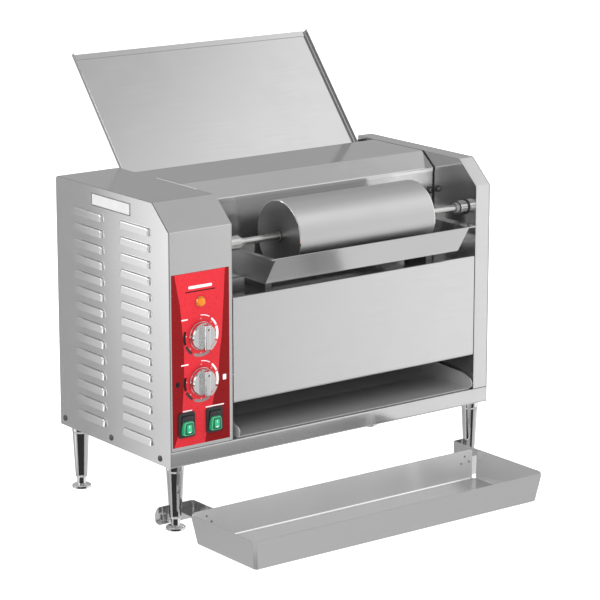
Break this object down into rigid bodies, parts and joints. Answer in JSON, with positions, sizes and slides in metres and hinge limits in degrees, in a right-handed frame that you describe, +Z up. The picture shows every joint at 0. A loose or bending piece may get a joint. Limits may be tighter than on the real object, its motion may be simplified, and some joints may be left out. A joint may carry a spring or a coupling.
{
  "type": "conveyor bun toaster",
  "caption": "Countertop vertical contact bun toaster with feed chute, butter roller and pan, control tower, landing tray and front catch tray on adjustable legs.",
  "frame": {"origin": "on the counter plane, midway between the four feet's centres", "axes": "+X to the right as seen from the front, +Y to the rear, +Z up"},
  "size_m": [0.6487, 0.6759, 0.6856],
  "materials": {
    "brushed_sheet": "brushed stainless sheet",
    "inner_sheet": "mill finish stainless sheet",
    "leg_chrome": "polished",
    "roller_steel": "fine satin, turned",
    "shaft_steel": "turned",
    "bearing_bronze": "sintered",
    "chain_steel": "oiled",
    "black_rubber": "matt",
    "overlay_film": "satin printed film",
    "amber_lens": "moulded, glossy",
    "knob_metal": "satin spun",
    "black_plastic": "moulded",
    "green_rocker": "moulded, lit",
    "platen_metal": "cast",
    "element_sheath": "heat tinted",
    "belt_mesh": "woven wire",
    "motor_paint": "satin enamel"
  },
  "bodies": {
    "frame": {"axle_bearings": "bearing_bronze", "base_pan": "brushed_sheet", "butter_pan": "brushed_sheet", "chute_guides": "inner_sheet", "control_overlay": "overlay_film", "conveyor_belt": "belt_mesh", "conveyor_motor": "motor_paint", "cord_gland": "black_plastic", "drive_chain": "chain_steel", "front_panel": "brushed_sheet", "heat_shield": "inner_sheet", "heater_elements": "element_sheath", "hood": "brushed_sheet", "left_inner_wall": "brushed_sheet", "left_side_panel": "brushed_sheet", "left_switch": "black_rubber", "left_tower_shell": "brushed_sheet", "leg_front_left": "leg_chrome", "leg_front_right": "leg_chrome", "leg_rear_left": "leg_chrome", "leg_rear_right": "leg_chrome", "lower_slide": "inner_sheet", "pan_rests": "inner_sheet", "pilot_bezel": "leg_chrome", "pilot_lens": "amber_lens", "platen": "platen_metal", "rear_panel": "brushed_sheet", "recess_wall": "brushed_sheet", "right_inner_wall": "brushed_sheet", "right_side_panel": "brushed_sheet", "right_switch": "black_rubber", "right_tower_shell": "brushed_sheet", "roller_bush": "shaft_steel", "roller_motor": "motor_paint", "screws": "shaft_steel", "speed_control": "black_plastic", "terminal_block": "black_plastic", "thermostat": "black_plastic"},
    "roller": {"butter_roller": "roller_steel", "roller_shaft": "shaft_steel", "drive_coupling": "shaft_steel", "seal_ring": "black_rubber"},
    "chute": {"bun_chute": "brushed_sheet"},
    "landing": {"landing_tray": "brushed_sheet"},
    "catcher": {"catch_tray": "brushed_sheet", "tray_hook_left": "brushed_sheet", "tray_hook_right": "brushed_sheet"},
    "heat_control": {"heat_knob": "knob_metal"},
    "speed_dial": {"speed_knob": "knob_metal"},
    "left_key": {"left_rocker": "green_rocker"},
    "right_key": {"right_rocker": "green_rocker"},
    "conveyor_drive": {"drive_axle": "shaft_steel", "drive_wheel": "shaft_steel"},
    "conveyor_idler": {"idler_axle": "shaft_steel"},
    "motor_output": {"motor_wheel": "shaft_steel"},
    "levelling_foot_front_left": {"foot_front_left": "leg_chrome"},
    "levelling_foot_front_right": {"foot_front_right": "leg_chrome"},
    "levelling_foot_rear_left": {"foot_rear_left": "leg_chrome"},
    "levelling_foot_rear_right": {"foot_rear_right": "leg_chrome"}
  },
  "joints": [
    {"name": "roller_spin", "type": "hinge", "parent": "frame", "child": "roller", "pos_m": [0, -0.12665, 0.4372], "axis": [1, 0, 0], "continuous": true},
    {"name": "conveyor_spin", "type": "hinge", "parent": "frame", "child": "conveyor_drive", "pos_m": [0, 0.05535, 0.215], "axis": [1, 0, 0], "continuous": true},
    {"name": "idler_spin", "type": "hinge", "parent": "frame", "child": "conveyor_idler", "pos_m": [0, 0.05535, 0.44], "axis": [1, 0, 0], "continuous": true},
    {"name": "motor_spin", "type": "hinge", "parent": "frame", "child": "motor_output", "pos_m": [-0.24, 0.05535, 0.32], "axis": [1, 0, 0], "continuous": true},
    {"name": "heat_turn", "type": "hinge", "parent": "frame", "child": "heat_control", "pos_m": [-0.2615, -0.16465, 0.3085], "axis": [0, 1, 0], "range_deg": [-120, 150]},
    {"name": "speed_turn", "type": "hinge", "parent": "frame", "child": "speed_dial", "pos_m": [-0.2615, -0.16465, 0.236], "axis": [0, 1, 0], "range_deg": [-120, 150]},
    {"name": "left_key_tilt", "type": "hinge", "parent": "frame", "child": "left_key", "pos_m": [-0.29025, -0.15725, 0.1715], "axis": [1, 0, 0], "range_deg": [-12, 0]},
    {"name": "right_key_tilt", "type": "hinge", "parent": "frame", "child": "right_key", "pos_m": [-0.23845, -0.15725, 0.1715], "axis": [1, 0, 0], "range_deg": [-12, 0]},
    {"name": "chute_lift", "type": "slide", "parent": "frame", "child": "chute", "axis": [0, 0.6361, 0.7716], "range_m": [0, 0.12]},
    {"name": "landing_tray_draw", "type": "slide", "parent": "frame", "child": "landing", "axis": [0, -1, 0], "range_m": [0, 0.1]},
    {"name": "catch_tray_push", "type": "slide", "parent": "frame", "child": "catcher", "axis": [0, 1, 0], "range_m": [0, 0.05]},
    {"name": "foot_screw_front_left", "type": "slide", "parent": "frame", "child": "levelling_foot_front_left", "axis": [0, 0, -1], "range_m": [0, 0.015]},
    {"name": "foot_screw_front_right", "type": "slide", "parent": "frame", "child": "levelling_foot_front_right", "axis": [0, 0, -1], "range_m": [0, 0.015]},
    {"name": "foot_screw_rear_left", "type": "slide", "parent": "frame", "child": "levelling_foot_rear_left", "axis": [0, 0, -1], "range_m": [0, 0.015]},
    {"name": "foot_screw_rear_right", "type": "slide", "parent": "frame", "child": "levelling_foot_rear_right", "axis": [0, 0, -1], "range_m": [0, 0.015]}
  ],
  "couplings": [
    {"joint": "idler_spin", "follows": "conveyor_spin", "ratio": 1},
    {"joint": "motor_spin", "follows": "conveyor_spin", "ratio": 1.5}
  ]
}
